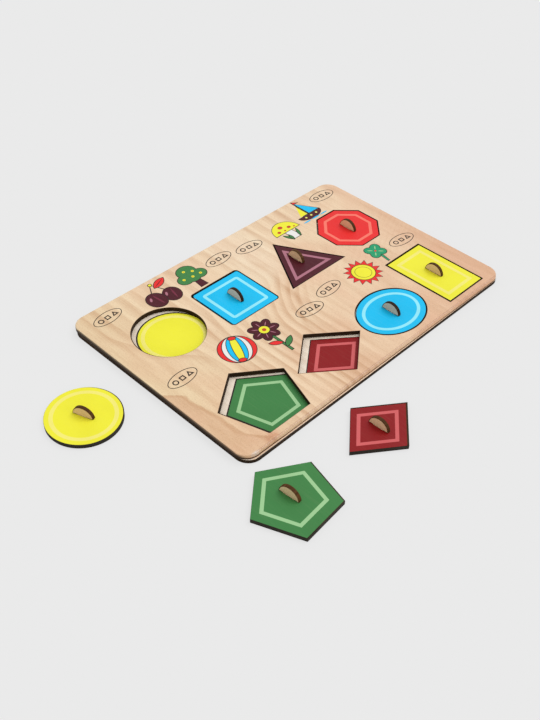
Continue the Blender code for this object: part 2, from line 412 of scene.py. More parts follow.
def birch_group():
    """Birch veneer: fine fibres, streaks and pores; Lines darkens it and Blush turns it pinker."""
    nodes, given, out = new_group("birch_veneer", {
        "Light": "colour", "Rosy": "colour", "Dark": "colour", "Lines": "value", "Blush": "value",
    })
    fibres = nodes.noise(820.0, (1, 0.07, 1), 3.0, 0.6)
    streaks = nodes.noise(190.0, (1, 0.06, 1), 2.0, 0.55, shift=(1, 0, 0))
    bands = nodes.noise(84.0, (1, 0.05, 1), 1.0, shift=(0, 0.3, 0))
    pores = nodes.ramp(nodes.noise(2300.0, (1, 0.07, 1), 1.0), 0.66, 0.78)
    darkness = nodes.fit(nodes.ramp(fibres, 0.35, 0.75), 0.13, given["Lines"])
    darkness = nodes.fit(nodes.ramp(streaks, 0.42, 0.75), 0.13, darkness)
    darkness = nodes.fit(nodes.ramp(bands, 0.45, 0.70), 0.15, darkness)
    darkness = nodes.math("MULTIPLY_ADD", pores, 0.20, darkness, clamp=True)
    cloud = nodes.noise(21.0, (1, 0.7, 1), 2.0, shift=(0, 5, 0))
    cloudy = nodes.fit(nodes.ramp(cloud, 0.35, 0.68), 0.54, -0.28)
    blush = nodes.math("ADD", given["Blush"], cloudy, clamp=True)
    light = nodes.mix(blush, given["Light"], given["Rosy"])
    nodes.put(out["Color"], nodes.mix(darkness, light, given["Dark"]))
    nodes.put(out["Height"], nodes.fit(pores, -0.6, nodes.times(fibres, 0.4)))
    return nodes.tree


def ring_lines(nodes, turns):
    """Late wood of the growth rings: slowly darker, then quickly light again at each whole turn."""
    ring = nodes.math("FRACT", turns)
    return nodes.larger(nodes.ramp(ring, 0.32, 1.0), nodes.ramp(ring, 0.15, 0.0))


def beside_line(nodes, x, y, start, bends):
    """How far a point lies to the right of a growth line that bends as it runs to the front."""
    line = start * MM
    for back, front, reach in bends:
        line = nodes.fit(nodes.ramp(y, back * MM, front * MM), reach * MM, line)
    return nodes.minus(x, line)


def line_shade(nodes, beside, soft, hard):
    """Dark along a growth line: it sets in slowly on one side and stops sooner on the other."""
    return nodes.times(nodes.ramp(beside, soft * MM, -0.4 * MM), nodes.ramp(beside, hard * MM, 0.0))


def grain_sway(nodes):
    """How far the grain wanders to the side: slowly along the tray, and in small waves."""
    slow = nodes.noise(11.0, (1, 0.6, 1), 1.0, shift=(0.4, 2.2, 0))
    quick = nodes.noise(55.0, (1, 0.22, 1), 2.0)
    return nodes.plus(nodes.fit(slow, 10 * MM, -5 * MM), nodes.fit(quick, 5 * MM, -2.5 * MM))


def tray_rings(nodes, x, y, sway):
    """Growth rings, wider apart at the back than at the front, and how strong they are."""
    swayed = nodes.plus(x, sway)
    front = nodes.fit(swayed, 1 / RING_SPACING, RING_START / RING_SPACING)
    pull = nodes.fit(swayed, BEND_SPREAD, BEND_TURNS)
    turns = nodes.minus(front, nodes.times(nodes.ramp(y, BEND_FRONT, BEND_BACK), pull))
    cloud = nodes.ramp(nodes.noise(24.0, (1, 0.45, 1), 1.0, shift=(3, 1, 0)), 0.34, 0.62)
    strong = nodes.larger(nodes.ramp(turns, 2.0, -0.8), nodes.ramp(y, 60 * MM, 88 * MM))
    strong = nodes.times(nodes.fit(strong, 0.75, 0.25), nodes.fit(cloud, 0.24, 0.14))
    return nodes.times(ring_lines(nodes, turns), strong)


def pale_spot(nodes, x, y):
    """Where the veneer is pale with hardly any rings: right of the square, towards the back."""
    aside = nodes.math("ABSOLUTE", nodes.minus(x, 14 * MM))
    return nodes.times(nodes.ramp(aside, 36 * MM, 6 * MM), nodes.ramp(y, 8 * MM, 38 * MM))


def middle_line(nodes, x, y, sway):
    """One growth line down the middle of the tray."""
    middle = beside_line(nodes, nodes.fit(sway, 0.3, x), y, *MIDDLE_LINE)
    along = nodes.times(nodes.ramp(y, -48 * MM, -30 * MM), nodes.ramp(y, 70 * MM, 48 * MM))
    return nodes.times(line_shade(nodes, middle, -5, 3.0), nodes.times(along, 0.2))


def dark_corner(nodes, x, y, sway):
    """The left front corner, cut off by a growth line: where it is, and how dark its mottling."""
    uneven = nodes.fit(nodes.noise(130.0, (1, 0.5, 1), 3.0, 0.6), 5 * MM, -2.5 * MM)
    uneven = nodes.fit(sway, 0.3, uneven)
    corner = beside_line(nodes, nodes.plus(x, uneven), y, *CORNER_LINE)
    outside = nodes.ramp(corner, 1.8 * MM, -1.8 * MM)
    mottle = nodes.noise(95.0, (1, 0.3, 1), 3.0, 0.6, shift=(2, 0, 0))
    mottle = nodes.fit(nodes.ramp(mottle, 0.32, 0.68), 0.18, 0.07)
    fading = nodes.fit(nodes.ramp(corner, -26 * MM, -5 * MM), 0.5, 0.5)
    shade = nodes.times(line_shade(nodes, corner, -4, 1.2), 0.3)
    return outside, nodes.fit(outside, nodes.times(mottle, fading), shade)


def tray_blush(nodes, x, y, outside):
    """Pinker towards the front, the right end and the dark corner; less so right of the oval."""
    right = nodes.fit(nodes.ramp(y, 0.0, 90 * MM), -0.3, 0.5)
    right = nodes.times(nodes.ramp(x, -40 * MM, 120 * MM), right)
    blush = nodes.fit(nodes.ramp(y, 10 * MM, -130 * MM), 0.62, right)
    blush = nodes.fit(nodes.ramp(x, 118 * MM, 152 * MM), 0.32, blush)
    strip = nodes.ramp(nodes.math("ABSOLUTE", nodes.minus(x, 77 * MM)), 24 * MM, 4 * MM)
    strip = nodes.times(strip, nodes.ramp(y, -36 * MM, -62 * MM))
    return nodes.larger(nodes.fit(strip, -0.34, blush), nodes.times(outside, 0.6))


def tray_veneer_group():
    """The tray's own sheet: growth lines along Y, bent in the middle, a plain heart at the left."""
    nodes, _, out = new_group("tray_veneer", {})
    x, y, _ = nodes.place()
    sway = grain_sway(nodes)
    heart = beside_line(nodes, x, y, *HEART_LINE)
    pale = pale_spot(nodes, x, y)
    outside, corner_lines = dark_corner(nodes, x, y, sway)

    rings = nodes.times(tray_rings(nodes, x, y, sway), nodes.ramp(heart, -4 * MM, 8 * MM))
    lines = nodes.times(rings, nodes.fit(pale, -0.6, 1.0))
    heart_line = nodes.times(line_shade(nodes, heart, -9, 1.4), nodes.ramp(y, -30 * MM, 0.0))
    lines = nodes.fit(heart_line, 0.24, lines)
    lines = nodes.plus(lines, middle_line(nodes, x, y, sway))
    lines = nodes.plus(lines, corner_lines)

    light = nodes.mix(nodes.ramp(x, -145 * MM, -60 * MM), YELLOW_BIRCH, BIRCH)
    veneer = use_group(
        nodes, birch_group, Light=nodes.mix(pale, light, PALE_BIRCH), Rosy=ROSY_BIRCH,
        Dark=DARK_BIRCH, Lines=lines, Blush=tray_blush(nodes, x, y, outside),
    )
    for label in SURFACE:
        nodes.put(out[label], veneer[label])
    return nodes.tree


def char_group():
    """Laser-burnt plywood edge: dark, with paler plies and fine upright burn marks."""
    nodes, given, out = new_group("laser_char", {"Dark": "colour", "Light": "colour"})
    plies = nodes.noise(900.0, (0.02, 0.02, 1), 1.0)
    burn = nodes.noise(1500.0, (1, 1, 0.06), 2.0)
    blotch = nodes.noise(90.0)
    pale = nodes.times(nodes.ramp(plies, 0.42, 0.68), nodes.ramp(blotch, 0.3, 0.7))
    pale = nodes.fit(nodes.ramp(burn, 0.5, 0.8), 0.2, nodes.times(pale, 0.45))
    nodes.put(out["Color"], nodes.mix(pale, given["Dark"], given["Light"]))
    nodes.put(out["Height"], nodes.plus(burn, plies))
    return nodes.tree


def ink_group():
    """Screen-printed ink: the colour a little thinner where wood fibres stand up."""
    nodes, given, out = new_group("printed_ink", {"Ink": "colour"})
    fibres = nodes.noise(700.0, (1, 0.06, 1), 3.0, 0.6)
    cloud = nodes.noise(55.0, (1, 0.6, 1))
    thin = nodes.times(nodes.ramp(fibres, 0.45, 0.8), 0.018)
    thick = nodes.times(nodes.ramp(cloud, 0.35, 0.75), 0.5)
    colour = nodes.mix(thin, given["Ink"], BIRCH)
    nodes.put(out["Color"], nodes.mix(thick, colour, nodes.mix(1.0, colour, THICK_INK, "MULTIPLY")))
    nodes.put(out["Height"], nodes.times(fibres, 0.5))
    return nodes.tree


def sheen_group():
    """Roughness of the satin lacquer, with faint smears from small hands."""
    nodes, given, out = new_group("satin_sheen", {"Base": "value"}, {"Roughness": "value"})
    smear = nodes.noise(38.0, detail=4.0, roughness=0.6)
    nodes.put(out["Roughness"], nodes.plus(given["Base"], nodes.fit(smear, 0.22, -0.11)))
    return nodes.tree


GROUPS = {}


def use_group(nodes, make, **values):
    """Adds a group at the nodes' own position, and returns its outputs."""
    if make not in GROUPS:
        GROUPS[make] = make()
    group = {"node_tree": GROUPS[make]}
    return nodes.add("ShaderNodeGroup", group, Position=nodes.position, **values).outputs


def add_char(nodes, dark=CHAR, light=CHAR_LIGHT):
    return use_group(nodes, char_group, Dark=dark, Light=light)


class Finish(Nodes):
    """Nodes of a new material, which read the piece's own coordinates."""

    def __init__(self, name):
        self.material = bpy.data.materials.new(name)
        self.material.use_nodes = True
        super().__init__(self.material.node_tree)
        self.position = self.add("ShaderNodeTexCoord").outputs["Object"]

    def shade(self, colour, height, roughness, depth, coat=0.0, specular=0.5):
        """Gives the shader its looks, and returns the material."""
        sheen = use_group(self, sheen_group, Base=roughness)
        bump = self.add("ShaderNodeBump", Height=height, Distance=depth, Strength=1.0)
        values = {
            "Base Color": colour, "Roughness": sheen["Roughness"], "Normal": bump.outputs[0],
            "Specular IOR Level": specular, "Coat Weight": coat, "Coat Roughness": COAT_ROUGHNESS,
        }
        for label, value in values.items():
            self.put(self.tree.nodes["Principled BSDF"].inputs[label], value)
        return self.material


def scorched(nodes, colour):
    """Colour burnt dark where the mesh's scorch attribute is high."""
    scorch = nodes.add("ShaderNodeAttribute", {"attribute_name": "scorch"}).outputs["Fac"]
    edge = nodes.fit(nodes.noise(1100.0), 0.35, scorch)
    browned = nodes.mix(1.0, colour, BROWNED, "MULTIPLY")
    browned = nodes.mix(nodes.ramp(edge, 0.12, 0.6), colour, browned)
    return nodes.mix(nodes.ramp(edge, 0.35, 0.95), browned, add_char(nodes)["Color"])


def spot_on_tray(nodes, spot, length, far, near):
    """Ragged spot: full inside the near distance, none outside the far one, drawn out along X."""
    mapping = nodes.add("ShaderNodeMapping", Vector=nodes.position, Scale=(1 / length, 1, 1))
    distance = nodes.add("ShaderNodeVectorMath", {"operation": "DISTANCE"})
    nodes.put(distance.inputs[0], mapping.outputs[0])
    nodes.put(distance.inputs[1], (spot[0] / length, spot[1], spot[2]))
    speckle = nodes.fit(nodes.ramp(nodes.noise(500.0), 0.3, 0.6), 0.6, 0.2)
    return nodes.times(nodes.ramp(distance.outputs["Value"], far, near), speckle)


def add_painted_highlight(nodes, colour):
    """A painted highlight: a pale spot on the rim at the tray's left front corner."""
    return nodes.mix(spot_on_tray(nodes, PAINTED_HIGHLIGHT_PLACE, 2, 2.6 * MM, 0.8 * MM), colour, PAINTED_HIGHLIGHT)


def board_face_finish():
    """Lacquered top of the tray, with painted shade on its sanded front rim, and brown burn at the
    cut-outs.
    """
    nodes = Finish("lacquered_birch")
    x, y, _ = nodes.place()
    veneer = use_group(nodes, tray_veneer_group)
    stain = spot_on_tray(nodes, STAIN_PLACE, 1.4, 6.5 * MM, 1.5 * MM)
    colour = nodes.mix(stain, veneer["Color"], STAIN_TONE, "MULTIPLY")
    colour = scorched(nodes, colour)
    # Painted shade along the front rim, weaker where the edge rounds over
    rounding = nodes.fit(nodes.ramp(y, FRONT_EDGE + 0.7 * MM, FRONT_EDGE + 0.1 * MM), -0.6, 1.0)
    front_rim_shade = nodes.times(nodes.ramp(y, FRONT_EDGE + 2.3 * MM, FRONT_EDGE + 1.1 * MM), rounding)
    colour = nodes.mix(front_rim_shade, colour, FRONT_RIM_SHADE, "MULTIPLY")
    # Painted highlight on the rim at the left front corner
    colour = add_painted_highlight(nodes, colour)
    left_rim = nodes.ramp(x, LEFT_EDGE + 0.6 * MM, LEFT_EDGE + 0.25 * MM)
    colour = nodes.mix(left_rim, colour, add_char(nodes)["Color"])
    return nodes.shade(colour, veneer["Height"], 0.36, WOOD_GRAIN_DEPTH, LACQUER)


def board_side_finish():
    """Outer side of the top board: sanded tan over a brown seam, burnt dark along the left end."""
    nodes = Finish("sanded_board_side")
    x, _, z = nodes.place()
    veneer = use_group(nodes, tray_veneer_group)
    blotch = nodes.times(nodes.ramp(nodes.noise(45.0), 0.46, 0.68), 0.3)
    tan = nodes.mix(blotch, veneer["Color"], SANDED_TAN)
    # Painted highlight where the rim at the left front corner rounds over
    tan = add_painted_highlight(nodes, tan)
    low = nodes.fit(nodes.ramp(x, LEFT_EDGE + 44 * MM, LEFT_EDGE + 22 * MM), -0.4 * MM, z)
    seam = nodes.ramp(low, SEAM_TOP + 1.05 * MM, SEAM_TOP + 0.6 * MM)
    tan = nodes.mix(seam, tan, SEAM_LINE)
    char = add_char(nodes)
    lean = nodes.fit(z, 1.3, x)
    left = nodes.ramp(lean, LEFT_EDGE + 12.5 * MM, LEFT_EDGE + 6.5 * MM)
    colour = nodes.mix(left, tan, char["Color"])
    return nodes.shade(colour, char["Height"], 0.5, SANDED_DEPTH, specular=0.15)


def char_finish(name="charred_edge", dark=CHAR, light=CHAR_LIGHT):
    nodes = Finish(name)
    char = add_char(nodes, dark, light)
    return nodes.shade(char["Color"], char["Height"], 0.62, WOOD_GRAIN_DEPTH, specular=0.1)


def bare_birch(nodes, light):
    """Unlacquered veneer with wandering rings; its shades follow from its light colour."""
    rosy = tuple(value * share for value, share in zip(light, (0.93, 0.84, 0.78, 1)))
    dark = tuple(value * share for value, share in zip(light, (0.68, 0.55, 0.45, 1)))
    wander = nodes.noise(14.0, (1, 0.4, 1))
    turns = nodes.fit(nodes.place()[0], 1 / RING_SPACING, nodes.times(wander, 4.0))
    lines = nodes.times(ring_lines(nodes, turns), 0.2)
    return use_group(nodes, birch_group, Light=light, Rosy=rosy, Dark=dark, Lines=lines, Blush=0.3)


def bare_birch_finish(name, light, roughness):
    nodes = Finish(name)
    veneer = bare_birch(nodes, light)
    colour = scorched(nodes, veneer["Color"])
    return nodes.shade(colour, veneer["Height"], roughness, WOOD_GRAIN_DEPTH, specular=0.12)


def recess_finish():
    """Floor of the recesses, pale birch painted lighter still to offset the shade in them, browned
    where the base board juts out in front and at the left.
    """
    nodes = Finish("recess_birch")
    x, y, _ = nodes.place()
    # Painted light: the floor birch is lightened to offset the shade in the recesses
    veneer = bare_birch(nodes, RECESS_BIRCH_PAINTED_LIGHT)
    front = nodes.ramp(y, FRONT_EDGE + 0.6 * MM, FRONT_EDGE + 0.2 * MM)
    colour = nodes.mix(front, veneer["Color"], FRONT_LEDGE)
    burnt = nodes.ramp(y, FRONT_EDGE - 0.78 * MM, FRONT_EDGE - 0.96 * MM)
    colour = nodes.mix(burnt, colour, add_char(nodes)["Color"])
    left = nodes.ramp(x, LEFT_EDGE + 0.8 * MM, LEFT_EDGE + 0.3 * MM)
    colour = nodes.mix(left, colour, LEFT_LEDGE)
    return nodes.shade(colour, veneer["Height"], 0.45, WOOD_GRAIN_DEPTH, 0.15)


def glue_finish():
    nodes = Finish("glue_seam")
    cloud = nodes.noise(300.0)
    colour = nodes.mix(cloud, GLUE_DARK, GLUE_LIGHT)
    return nodes.shade(colour, cloud, 0.45, GLUE_DEPTH)


def ink_finish(name, colour):
    nodes = Finish(name)
    ink = use_group(nodes, ink_group, Ink=colour)
    return nodes.shade(ink["Color"], ink["Height"], 0.42, INK_DEPTH, specular=0.2)


BOARD_FACE = board_face_finish()
BOARD_SIDE = board_side_finish()
CHAR_EDGE = char_finish()
PLATE_EDGE = char_finish("charred_plate_edge", PLATE_CHAR, PLATE_CHAR_LIGHT)
TAB_EDGE = char_finish("browned_tab_edge", BROWN_CHAR, BROWN_CHAR_LIGHT)
RAW_BIRCH = bare_birch_finish("raw_birch", UNDERSIDE_BIRCH, 0.6)
FLOOR_FACE = recess_finish()
# Tab faces: birch painted lighter to offset their shade
TAB_FACE = bare_birch_finish("tab_birch", TAB_BIRCH_PAINTED_LIGHT, 0.55)
# Tab faces on blue plates: painted bounce light from the blue print
TAB_FACE_PAINTED_BLUE_BOUNCE = bare_birch_finish("grey_tab_birch", TAB_BIRCH_PAINTED_BLUE_BOUNCE, 0.55)
GLUE = glue_finish()
INK = {name: ink_finish(name + "_ink", colour) for name, colour in INKS.items()}


# Modelling helpers
def select_only(piece):
    bpy.ops.object.select_all(action="DESELECT")
    piece.select_set(True)
    bpy.context.view_layer.objects.active = piece


def start(name, add, *values, **settings):
    """Runs the function that adds a primitive, and names what it made."""
    bpy.ops.object.select_all(action="DESELECT")
    add(*values, **settings)
    piece = bpy.context.object
    piece.name = name
    piece.data.name = name
    return piece


def give_materials(piece, *materials):
    piece.data.materials.clear()
    for material in materials:
        piece.data.materials.append(material)


def settle(piece, place=(0, 0, 0), turn=0.0, size=1.0):
    """Puts the piece in its place, at its size, and makes these its mesh's own."""
    select_only(piece)
    piece.scale = (size, size, 1)
    piece.location = Vector(place)
    piece.rotation_euler = (0, 0, turn)
    bpy.ops.object.transform_apply(location=True, rotation=True, scale=True)


def edit(piece):
    select_only(piece)
    bpy.ops.object.mode_set(mode="EDIT")
    return bmesh.from_edit_mesh(piece.data)


def edit_all(piece):
    edit(piece)
    bpy.ops.mesh.select_all(action="SELECT")


def leave_edit():
    bpy.ops.object.mode_set(mode="OBJECT")


def choose_faces(piece, wanted):
    """Selects the faces that the test wants, in edit mode."""
    shape = bmesh.from_edit_mesh(piece.data)
    bpy.ops.mesh.select_mode(type="FACE")
    for face in shape.faces:
        face.select_set(wanted(face))
    shape.select_flush(False)
    bmesh.update_edit_mesh(piece.data)


def paint(piece, wanted, material=None, scorch=None):
    """Gives the faces that the test wants a material, or their corners a scorch."""
    shape = edit(piece)
    layer = shape.verts.layers.float.get("scorch")
    for face in filter(wanted, shape.faces):
        if material:
            face.material_index = piece.data.materials.find(material.name)
        if scorch is not None:
            for vertex in face.verts:
                vertex[layer] = scorch
    bmesh.update_edit_mesh(piece.data)
    leave_edit()


def add_scorch(piece, value):
    layer = piece.data.attributes.new("scorch", "FLOAT", "POINT")
    for item in layer.data:
        item.value = value


def burn_rim(piece, wanted, width, even=True):
    """Gives the faces that the test wants a narrow rim that the material burns dark."""
    edit(piece)
    choose_faces(piece, wanted)
    bpy.ops.mesh.inset(thickness=width, use_boundary=True, use_even_offset=even)
    leave_edit()
    add_scorch(piece, 1.0)
    paint(piece, lambda face: face.select, scorch=0.0)


def raise_flat(piece, height):
    """Turns a flat face into a slab standing on its own plane."""
    edit_all(piece)
    bpy.ops.mesh.extrude_region_move(TRANSFORM_OT_translate={"value": (0, 0, height)})
    bpy.ops.mesh.select_all(action="SELECT")
    bpy.ops.mesh.normals_make_consistent(inside=False)
    leave_edit()


def facing_up(face):
    return face.normal.z > STRAIGHT


def facing_down(face):
    return face.normal.z < -STRAIGHT


def level(face):
    return abs(face.normal.z) > STRAIGHT


def upright(face):
    return not level(face)


def facing_x(face):
    return abs(face.normal.x) > STRAIGHT


def soften(piece, width, segments, wanted):
    """Rounds the edges between the faces that the test wants and their sides."""
    shape = edit(piece)
    bpy.ops.mesh.select_mode(type="EDGE")
    bpy.ops.mesh.select_all(action="DESELECT")
    for edge in shape.edges:
        kinds = [wanted(face) for face in edge.link_faces]
        edge.select_set(len(kinds) == 2 and kinds[0] != kinds[1])
    bmesh.update_edit_mesh(piece.data)
    bpy.ops.mesh.bevel(offset=width, segments=segments, affect="EDGES", profile=0.5)
    leave_edit()


def cut_away(piece, cutter, operation="DIFFERENCE"):
    select_only(piece)
    cut = piece.modifiers.new("cut", "BOOLEAN")
    cut.operation = operation
    cut.solver = "EXACT"
    cut.object = cutter
    bpy.ops.object.modifier_apply(modifier=cut.name)


def remove(piece):
    bpy.data.objects.remove(piece)


def smooth(piece):
    select_only(piece)
    bpy.ops.object.shade_smooth_by_angle(angle=SMOOTH_ANGLE)


def join_all(name, pieces):
    select_only(pieces[0])
    for piece in pieces:
        piece.select_set(True)
    bpy.ops.object.join()
    joined = bpy.context.object
    joined.name = name
    joined.data.name = name
    return joined


def patch(name, add_flat, inset, height):
    """Raised area that fills an outline."""
    piece = start(name, add_flat, inset)
    raise_flat(piece, height)
    return piece


def band(name, add_flat, inset, width, height):
    """Raised ring that follows an outline."""
    piece = start(name, add_flat, inset)
    edit_all(piece)
    bpy.ops.mesh.inset(thickness=width, use_even_offset=True)
    bpy.ops.mesh.delete(type="FACE")
    leave_edit()
    raise_flat(piece, height)
    return piece


# Boards
BOARD_OUTLINE = rectangle_flat(BOARD_LENGTH / 2, BOARD_WIDTH / 2, BOARD_CORNER_RADIUS)


def board_slab(name, inset, bottom, top):
    slab = patch(name, BOARD_OUTLINE, inset, top - bottom)
    settle(slab, (0, 0, bottom))
    return slab


def hole_cutters(grow=0.0):
    """One object with a plug for each cut-out, wider all round by the given amount."""
    plugs = []
    for shape in SHAPES:
        plug = patch("plug", shape.flat, -grow, PLUG_HEIGHT)
        settle(plug, shape.hole - Vector((0, 0, PLUG_DROP)))
        plugs.append(plug)
    return join_all("plugs", plugs)


def make_tray_top(cutters):
    """Upper board with eight cut-outs, sanded round its rim and burnt round the holes."""
    board = board_slab("tray_top", 0.0, SEAM_TOP, BOARD_TOP)
    give_materials(board, BOARD_FACE, BOARD_SIDE, CHAR_EDGE, RAW_BIRCH)
    soften(board, BOARD_EDGE_ROUND, 5, facing_up)
    paint(board, lambda face: face.normal.z < 0.6, BOARD_SIDE)
    paint(board, facing_down, RAW_BIRCH)
    give_materials(cutters, CHAR_EDGE)
    cut_away(board, cutters)
    edit(board)
    choose_faces(board, facing_up)
    bpy.ops.mesh.inset(thickness=CUT_OUT_SCORCH, use_boundary=True, use_even_offset=True)
    leave_edit()
    add_scorch(board, 0.0)
    charred = board.data.materials.find(CHAR_EDGE.name)
    paint(board, lambda face: face.material_index == charred, scorch=1.0)
    smooth(board)
    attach(board, "tray")
    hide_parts("top_board")


def make_smoke_mark(shape):
    """Dark mark on the tray top along the cut-out's edge, wider on the side that the smoke blew to."""
    mark = patch(shape.name + "_smoke_mark", shape.flat, -shape.burn, ink_height(1))
    settle(mark, shape.hole + shape.drift + Vector((0, 0, BOARD_TOP - INK_SINK)))
    plug = patch("plug", shape.flat, 0.0, 2 * BOARD_TOP)
    settle(plug, shape.hole)
    for piece in (mark, plug):
        give_materials(piece, CHAR_EDGE)
    cut_away(mark, plug)
    remove(plug)
    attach(mark, "tray")


def make_glue_seam():
    """Thin brown line of glue between the boards, set back from the edges and the cut-outs."""
    glue = board_slab("glue_seam", GLUE_INSET, BASE_TOP, SEAM_TOP)
    cutters = hole_cutters(GLUE_INSET)
    cut_away(glue, cutters)
    remove(cutters)
    give_materials(glue, GLUE)
    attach(glue, "tray")


def make_tray_base():
    """Lower board: bare floor of the recesses, charred along its sides."""
    middle = (BASE_LOW + BASE_HIGH) / 2
    base = patch("tray_base", BOARD_OUTLINE, 0.0, BASE_TOP)
    soften(base, ARRIS, 2, level)
    give_materials(base, FLOOR_FACE, CHAR_EDGE, RAW_BIRCH)
    paint(base, upright, CHAR_EDGE)
    paint(base, facing_down, RAW_BIRCH)
    settle(base, (middle.x, middle.y, 0), BASE_TWIST)
    smooth(base)
    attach(base, "tray")
    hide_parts("base_board")


# Pieces
def middle_of(piece):
    across = [vertex.co.x for vertex in piece.data.vertices]
    along = [vertex.co.y for vertex in piece.data.vertices]
    return Vector(((min(across) + max(across)) / 2, (min(along) + max(along)) / 2, 0))


def slot_cutter(centre):
    tenon = rectangle_flat(TAB_THICKNESS / 2, TENON_LENGTH / 2)
    cutter = patch("slot", tenon, -SLOT_GAP, 3 * PLATE_THICKNESS)
    settle(cutter, centre - Vector((0, 0, PLATE_THICKNESS)))
    give_materials(cutter, CHAR_EDGE)
    return cutter


def ink_height(layers):
    """Height of a print of so many layers, from its foot just inside the wood."""
    return INK_SINK + layers * INK_THICKNESS


def out_of_register(shape, slip):
    """A slip along the table, as the lying plate's own X and Y have it."""
    return Matrix.Rotation(-shape.turn, 3, "Z") @ slip


def printed_field(shape):
    """Ink on a plate's face: it ends at the rim, or short of it where the print is out of register."""
    height = ink_height(1)
    field = patch("field", shape.flat, PLATE_CLEARANCE + INK_EDGE - shape.bleed, height)
    settle(field, out_of_register(shape, shape.field_slip))
    rim = patch("rim", shape.flat, PLATE_CLEARANCE + INK_EDGE, 3 * height)
    settle(rim, (0, 0, -height))
    cut_away(field, rim, "INTERSECT")
    remove(rim)
    give_materials(field, INK[shape.ink])
    return field


def printed_ring(shape, inset, layers):
    """The paler ring that follows a shape's outline."""
    ring = band("ring", shape.ring_flat, PLATE_CLEARANCE + inset, shape.ring_width, ink_height(layers))
    give_materials(ring, INK[shape.tint])
    return ring


def make_piece(shape):
    """Plate, print and finger tab of one shape."""
    body = shape.name + "_piece"
    plate = patch(shape.name + "_wood", shape.flat, PLATE_CLEARANCE, PLATE_THICKNESS)
    tab_centre = middle_of(plate)
    soften(plate, ARRIS, 2, level)
    give_materials(plate, RAW_BIRCH, PLATE_EDGE)
    cutter = slot_cutter(tab_centre)
    burn_rim(plate, level, BURNT_RIM)
    paint(plate, upright, PLATE_EDGE)
    cut_away(plate, cutter)

    field = printed_field(shape)
    ring = printed_ring(shape, shape.ring_inset, 2)
    settle(ring, out_of_register(shape, shape.ring_slip))
    for layer in (field, ring):
        settle(layer, (0, 0, PLATE_THICKNESS - INK_SINK))
        cut_away(layer, cutter)
    remove(cutter)
    ink = join_all(shape.name + "_colour", [field, ring])
    # Tabs on blue plates get a greyer face, painted bounce light from the blue print
    finishes = (TAB_FACE_PAINTED_BLUE_BOUNCE, CHAR_EDGE) if shape.ink == "blue" else (TAB_FACE, TAB_EDGE)
    tab = make_tab(shape.name + "_finger_tab", tab_centre, finishes)

    for piece, slot in ((plate, "board_wood"), (ink, shape.slot), (tab, "tab_wood")):
        settle(piece, shape.place, shape.turn)
        smooth(piece)
        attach(piece, body)
    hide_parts(shape.name + "_plate")
    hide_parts(shape.name + "_tab")


def make_tab(name, centre, finishes):
    """Upper part of a small plywood disc, with a tenon that goes down into the slot."""
    rise = TAB_HEIGHT - TAB_FOOT_GAP
    radius = ((TAB_LENGTH / 2) ** 2 + rise ** 2) / (2 * rise)
    foot = PLATE_THICKNESS + TAB_FOOT_GAP
    tab = start(
        name, bpy.ops.mesh.primitive_cylinder_add, vertices=ROUND_POINTS, radius=radius,
        depth=TAB_THICKNESS, rotation=(0, math.pi / 2, 0),
        location=(centre.x, centre.y, PLATE_THICKNESS + TAB_HEIGHT - radius),
    )
    bpy.ops.object.transform_apply(location=True, rotation=True, scale=True)

    def under(face):
        return facing_down(face) and face.calc_center_median().z < foot + 0.1 * MM

    def under_middle(face):
        return facing_down(face) and abs(face.calc_center_median().y - centre.y) < TENON_LENGTH / 4

    edit_all(tab)
    bpy.ops.mesh.bisect(plane_co=(0, 0, foot), plane_no=(0, 0, 1), use_fill=True, clear_inner=True)
    for side in (-1, 1):
        choose_faces(tab, under)
        bpy.ops.mesh.bisect(plane_co=(0, centre.y + side * TENON_LENGTH / 2, 0), plane_no=(0, 1, 0))
    choose_faces(tab, under_middle)
    bpy.ops.mesh.extrude_region_move(TRANSFORM_OT_translate={"value": (0, 0, -TENON_DEPTH)})
    leave_edit()
    soften(tab, TAB_ARRIS, 2, facing_x)
    give_materials(tab, *finishes)
    paint(tab, lambda face: not facing_x(face), finishes[1])
    burn_rim(tab, facing_x, TAB_SCORCH, even=False)
    return tab


def make_floor_print(shape):
    """The same shape printed on the recess floor in a dark outline, a little out of register."""
    outline = patch("outline", shape.flat, shape.floor_inset - shape.outline, ink_height(1))
    give_materials(outline, INK["line"])
    field = patch("field", shape.flat, shape.floor_inset, ink_height(2))
    give_materials(field, INK[shape.ink])
    ring = printed_ring(shape, shape.floor_ring_inset, 3)
    ink = join_all(shape.name + "_floor_colour", [outline, field, ring])
    settle(ink, shape.hole + shape.floor_shift + Vector((0, 0, BASE_TOP - INK_SINK)))
    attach(ink, "tray")


# Printed pictures on the tray top, with sizes in mm
def edit_corners(wanted):
    """Goes into the flat just made and chooses the corners whose number and place pass the test."""
    flat = bpy.context.object
    shape = edit(flat)
    bpy.ops.mesh.select_mode(type="VERT")
    bpy.ops.mesh.select_all(action="DESELECT")
    for number, vertex in enumerate(shape.verts):
        vertex.select_set(wanted(number, vertex.co))
    bmesh.update_edit_mesh(flat.data)


def shift(along_x, along_y):
    edit_all(bpy.context.object)
    bpy.ops.transform.translate(value=(along_x, along_y, 0))
    leave_edit()


def oval(half_length, half_width):
    return round_flat(half_length * MM, half_width * MM)


def leaf(half_length, half_width):
    """Pointed leaf standing along Y."""
    def add(inset):
        bpy.ops.mesh.primitive_circle_add(vertices=4, radius=1, fill_type="NGON")
        edit_corners(lambda number, place: abs(place.x) > 0.5)
        bpy.ops.mesh.bevel(offset=1.41, segments=14, affect="VERTICES")
        bpy.ops.mesh.remove_doubles(threshold=0.01)
        leave_edit()
        stretch((half_width * MM - inset) / (math.sqrt(2) - 1), half_length * MM - 1.6 * inset)
    return add


